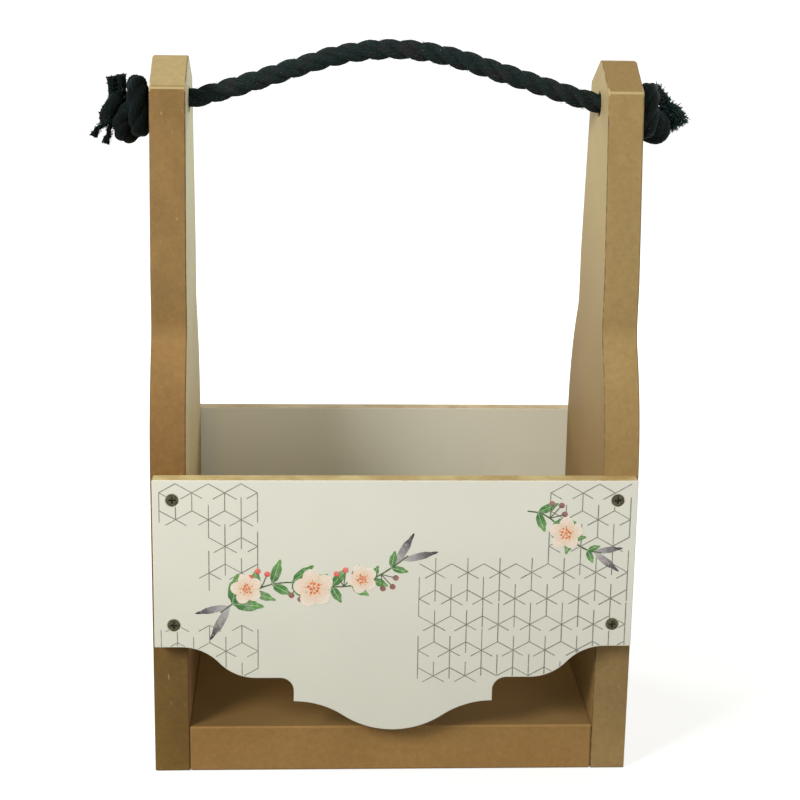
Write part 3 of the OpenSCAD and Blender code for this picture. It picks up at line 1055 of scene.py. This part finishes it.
def add_blossom(groups, shapes, place, radius, pick):
    """A simple open blossom of five round petals"""
    start = pick.uniform(0, 6.28)
    for i in range(5):
        angle = start + i * 2 * pi / 5 + pick.uniform(-0.06, 0.06)
        tone = pick.random() * 0.45
        groups["petals"].put(shapes["petal"], place, angle, radius, radius * 0.86, tone)
    for i in range(5):
        angle = start + i * 2 * pi / 5
        groups["hearts"].put(shapes["strip"], place, angle, radius * 0.45, 0.00035, 0.6)
    for i in range(9):
        angle = i * 2 * pi / 9
        away = radius * pick.uniform(0.08, 0.26)
        size = radius * 0.13
        spot = stepped(*place, angle, away)
        groups["hearts"].put(shapes["dot"], spot, angle, size, size, pick.random())


def add_berries(groups, shapes, place, way, pick, name):
    """Three round berries on short stalks"""
    for i in range(3):
        angle = way + radians(-34 + 34 * i)
        length = 0.0062 + 0.0012 * (i % 2)
        far = stepped(*place, angle, length)
        groups["stems"].put(shapes["strip"], place, angle, length, 0.00045, 0.6)
        groups[name].put(shapes["dot"], far, angle, 0.0030, 0.0030, pick.random())


def add_printed_design(shapes):
    """Sprays of leaves, berries and small blossoms across the middle and in one corner"""
    inks = {
        "stems": ("4a5a34", "55663a", "3a4428", 0.10),
        "leaves": ("2e5a30", "6fa55a", "3f7a35", 0.30),
        "veins": ("a8c890", "b8d4a0", "9cbc84", 0.20),
        "slender": ("b8b4b4", "2a2630", "4a4248", 0.35),
        "petals": ("eec9a8", "f2e6d8", "f4dcc4", 0.30),
        "hearts": ("e07040", "e89050", "c85a30", 0.15),
        "red_berries": ("e05048", "f08070", "c83a38", 0.25),
        "brown_berries": ("6a4650", "a87870", "8a5a50", 0.25),
    }
    groups = {name: Print("printed_" + name) for name in inks}
    pick = random.Random(21)
    plumes = ((0.05, 1, 0.021), (0.05, -1, 0.018), (0.93, 1, 0.020), (0.97, -1, 0.019))
    for t, side, length in plumes:
        place, way = vine_point(MIDDLE_VINE, t)
        turn = way + (pi if t < 0.5 else 0) + side * radians(24)
        groups["slender"].put(shapes["leaf"], place, turn, length, length * 0.20, 0.1)
    add_vine(groups, shapes, MIDDLE_VINE, 9, 0.0150, pick)
    for t, side in ((0.22, 1), (0.42, -1), (0.66, 1), (0.86, -1)):
        place, way = vine_point(MIDDLE_VINE, t)
        name = "red_berries" if side > 0 else "brown_berries"
        add_berries(groups, shapes, place, way + side * radians(80), pick, name)
    for t, shift, radius in ((0.14, 0.003, 0.0082), (0.50, -0.002, 0.0105), (0.76, 0.002, 0.0078)):
        place, way = vine_point(MIDDLE_VINE, t)
        add_blossom(groups, shapes, (place[0], place[1] + shift), radius, pick)
    place, way = vine_point(CORNER_VINE, 0.9)
    groups["slender"].put(shapes["leaf"], place, way - 0.5, 0.017, 0.0036, 0.1)
    groups["slender"].put(shapes["leaf"], place, way + 0.3, 0.015, 0.0032, 0.2)
    add_vine(groups, shapes, CORNER_VINE, 4, 0.0125, pick)
    place, way = vine_point(CORNER_VINE, 0.30)
    add_berries(groups, shapes, place, way + 1.5, pick, "brown_berries")
    place, way = vine_point(CORNER_VINE, 0.52)
    add_blossom(groups, shapes, place, 0.0088, pick)
    for name, ink in inks.items():
        groups[name].piece(printed_ink("ink_" + name, *ink))


# Floor, background and light
def white_for_the_camera(nodes, plain, white):
    """Mixes a plain shader with an even white one for camera, glossy and transmission rays"""
    rays = nodes.add("ShaderNodeLightPath")
    share = rays.outputs["Is Camera Ray"]
    for kind in ("Is Glossy Ray", "Is Transmission Ray"):
        either = nodes.add("ShaderNodeMath")
        either.operation = "MAXIMUM"
        nodes.link(share, either.inputs[0])
        nodes.link(rays.outputs[kind], either.inputs[1])
        share = either.outputs[0]
    mix = nodes.add("ShaderNodeMixShader")
    nodes.link(share, mix.inputs[0])
    nodes.link(plain, mix.inputs[1])
    nodes.link(white, mix.inputs[2])
    return mix.outputs[0]


def add_world():
    world = bpy.data.worlds.new("studio")
    nodes = Nodes(world)
    soft = nodes.add("ShaderNodeBackground", Color=(1.0, 0.99, 0.96, 1.0), Strength=0.235)
    white = nodes.add("ShaderNodeBackground", Color="ffffff", Strength=1.0)
    mixed = white_for_the_camera(nodes, soft.outputs[0], white.outputs[0])
    nodes.add("ShaderNodeOutputWorld", Surface=mixed)
    bpy.context.scene.world = world


def add_floor():
    """A pale paper floor: white for the camera, with the box's soft shadow beside it"""
    below = (0, 0, -0.0002)
    bpy.ops.mesh.primitive_circle_add(vertices=96, radius=9.0, fill_type="NGON", location=below)
    floor = bpy.context.object
    floor.name = "studio_floor"
    material = bpy.data.materials.new("pale_floor")
    nodes = Nodes(material)
    plain = nodes.add("ShaderNodeBsdfDiffuse", Color=(0.14, 0.13, 0.11, 1.0))
    paper = nodes.add("ShaderNodeBsdfDiffuse", Color=(0.50, 0.50, 0.49, 1.0))
    here = nodes.add("ShaderNodeTexCoord")
    away = nodes.add("ShaderNodeVectorMath")
    away.operation = "LENGTH"
    nodes.link(here.outputs["Object"], away.inputs[0])
    reach = dict(From_Min=0.20, From_Max=0.9, To_Min=0.64, To_Max=1.0)
    far = nodes.add("ShaderNodeMapRange", Value=away.outputs["Value"], **reach)
    glow = nodes.add("ShaderNodeEmission", Color="ffffff", Strength=far.outputs[0])
    lifted = nodes.add("ShaderNodeAddShader")
    nodes.link(paper.outputs[0], lifted.inputs[0])
    nodes.link(glow.outputs[0], lifted.inputs[1])
    mixed = white_for_the_camera(nodes, plain.outputs[0], lifted.outputs[0])
    nodes.add("ShaderNodeOutputMaterial", Surface=mixed)
    floor.data.materials.append(material)


def add_softbox(name, place, aim_height, size, power, tint):
    """A square lamp that looks at the box's axis at a height"""
    data = bpy.data.lights.new(name, "AREA")
    data.shape = "SQUARE"
    data.size = size
    data.energy = power
    data.color = tint
    lamp = new_object(name, data)
    lamp.visible_camera = False
    way = Vector((0, 0, aim_height)) - Vector(place)
    lamp.matrix_world = Matrix.Translation(place) @ way.to_track_quat("-Z", "Y").to_matrix().to_4x4()


def add_light():
    add_softbox("key_softbox", (-0.95, -0.88, 0.92), 0.20, 0.5, 20.5, (1.0, 0.99, 0.95))
    add_softbox("right_softbox", (0.9, -1.1, 0.6), 0.20, 0.9, 6.5, (0.98, 1.0, 1.0))
    add_softbox("left_rear_softbox", (-1.0, 0.9, 0.7), 0.30, 0.8, 8.4, (1.0, 1.0, 0.95))
    add_softbox("right_rear_softbox", (1.0, 0.9, 0.7), 0.30, 0.8, 11.4, (0.97, 1.0, 1.0))


# Making of the scene
bpy.context.scene.view_settings.view_transform = "Standard"
add_camera()

# The knots use darker copies of the rope's finish as painted shade, the left one much darker. All
# three paint light on the loose hairs.
rope_finish = twisted_cord("dark_twisted_cord", 1.0, 7.0)
left_knot_finish = twisted_cord("left_knotted_cord", 0.45, 1.5)
right_knot_finish = twisted_cord("right_knotted_cord", 0.95, 6.6)
rope, rope_curve, rope_run = add_rope(rope_finish)
end_phase = ROPE_PHASE + 2 * pi * rope_run / ROPE_LAY
# Each knot's way out, tail, pull, loose strands and start angle
left_form = (-1, LEFT_TAIL, LEFT_PULL, LEFT_STRANDS, -ROPE_PHASE)
right_form = (1, RIGHT_TAIL, RIGHT_PULL, RIGHT_STRANDS, end_phase)
left_knot = add_knot("left", *left_form, left_knot_finish, 31)
right_knot = add_knot("right", *right_form, right_knot_finish, 47)

# Tones of a board: its outer face, its inner face from the foot up, darker low down as painted shade,
# and its sawn edges
add_side_board("left", fibreboard(
    "left_fibreboard", face_axis=0, inner_side=1.0,
    face_tones=("b7a478", "8c6a40", "a38f63", "cecdab"), edge_tones=("816238", "8d6e42"),
    low_shade_tint="ebddcc", gable="b19c6d", foot_shade_tint="e3f2e4", wear_and_light=1.0,
))
add_side_board("right", fibreboard(
    "right_fibreboard", face_axis=0, inner_side=-1.0,
    face_tones=("b7a478", "775d33", "775d33", "aa9971"), edge_tones=("9d8353", "a88e5e"),
    low_shade_tint="fbf5ee", gable="9a7f4f", foot_shade_tint="e9e9ee", wear_and_light=0.4,
))
add_base_board(fibreboard(
    "base_fibreboard", face_axis=2, inner_side=1.0,
    face_tones=("8e6f42", "866739", "866739", "866739"), edge_tones=("8e6b3c", "977343"),
    low_shade_tint="ffffff", gable="987243", foot_shade_tint="ffffff", wear_and_light=0.3,
))
add_panel("front", coated_board("front_coating", True))
add_panel("back", coated_board("back_coating", False))

steel = dark_steel()
panel_face = HALF_DEPTH + PANEL_T - 0.00005
board_face = OUTER_X - 0.00005
add_screws("front_panel_screws", "front_screws_dressed", steel, lambda p: -p.y > panel_face)
add_screws("back_panel_screws", "back_screws_dressed", steel, lambda p: p.y > panel_face)
add_screws("left_base_screws", "left_base_screws_dressed", steel, lambda p: -p.x > board_face)
add_screws("right_base_screws", "right_base_screws_dressed", steel, lambda p: p.x > board_face)

outline_shapes = {
    "leaf": round_template(20, pointed_leaf),
    "petal": round_template(18, round_petal),
    "dot": round_template(14),
    "strip": strip_template(),
}
lattice_ink = printed_ink("ink_lattice", "74746a", "74746a", "8c8c82", 0.25)
add_lattice(outline_shapes["strip"], lattice_ink)
add_printed_design(outline_shapes)

add_world()
add_floor()
add_light()

bpy.context.view_layer.update()
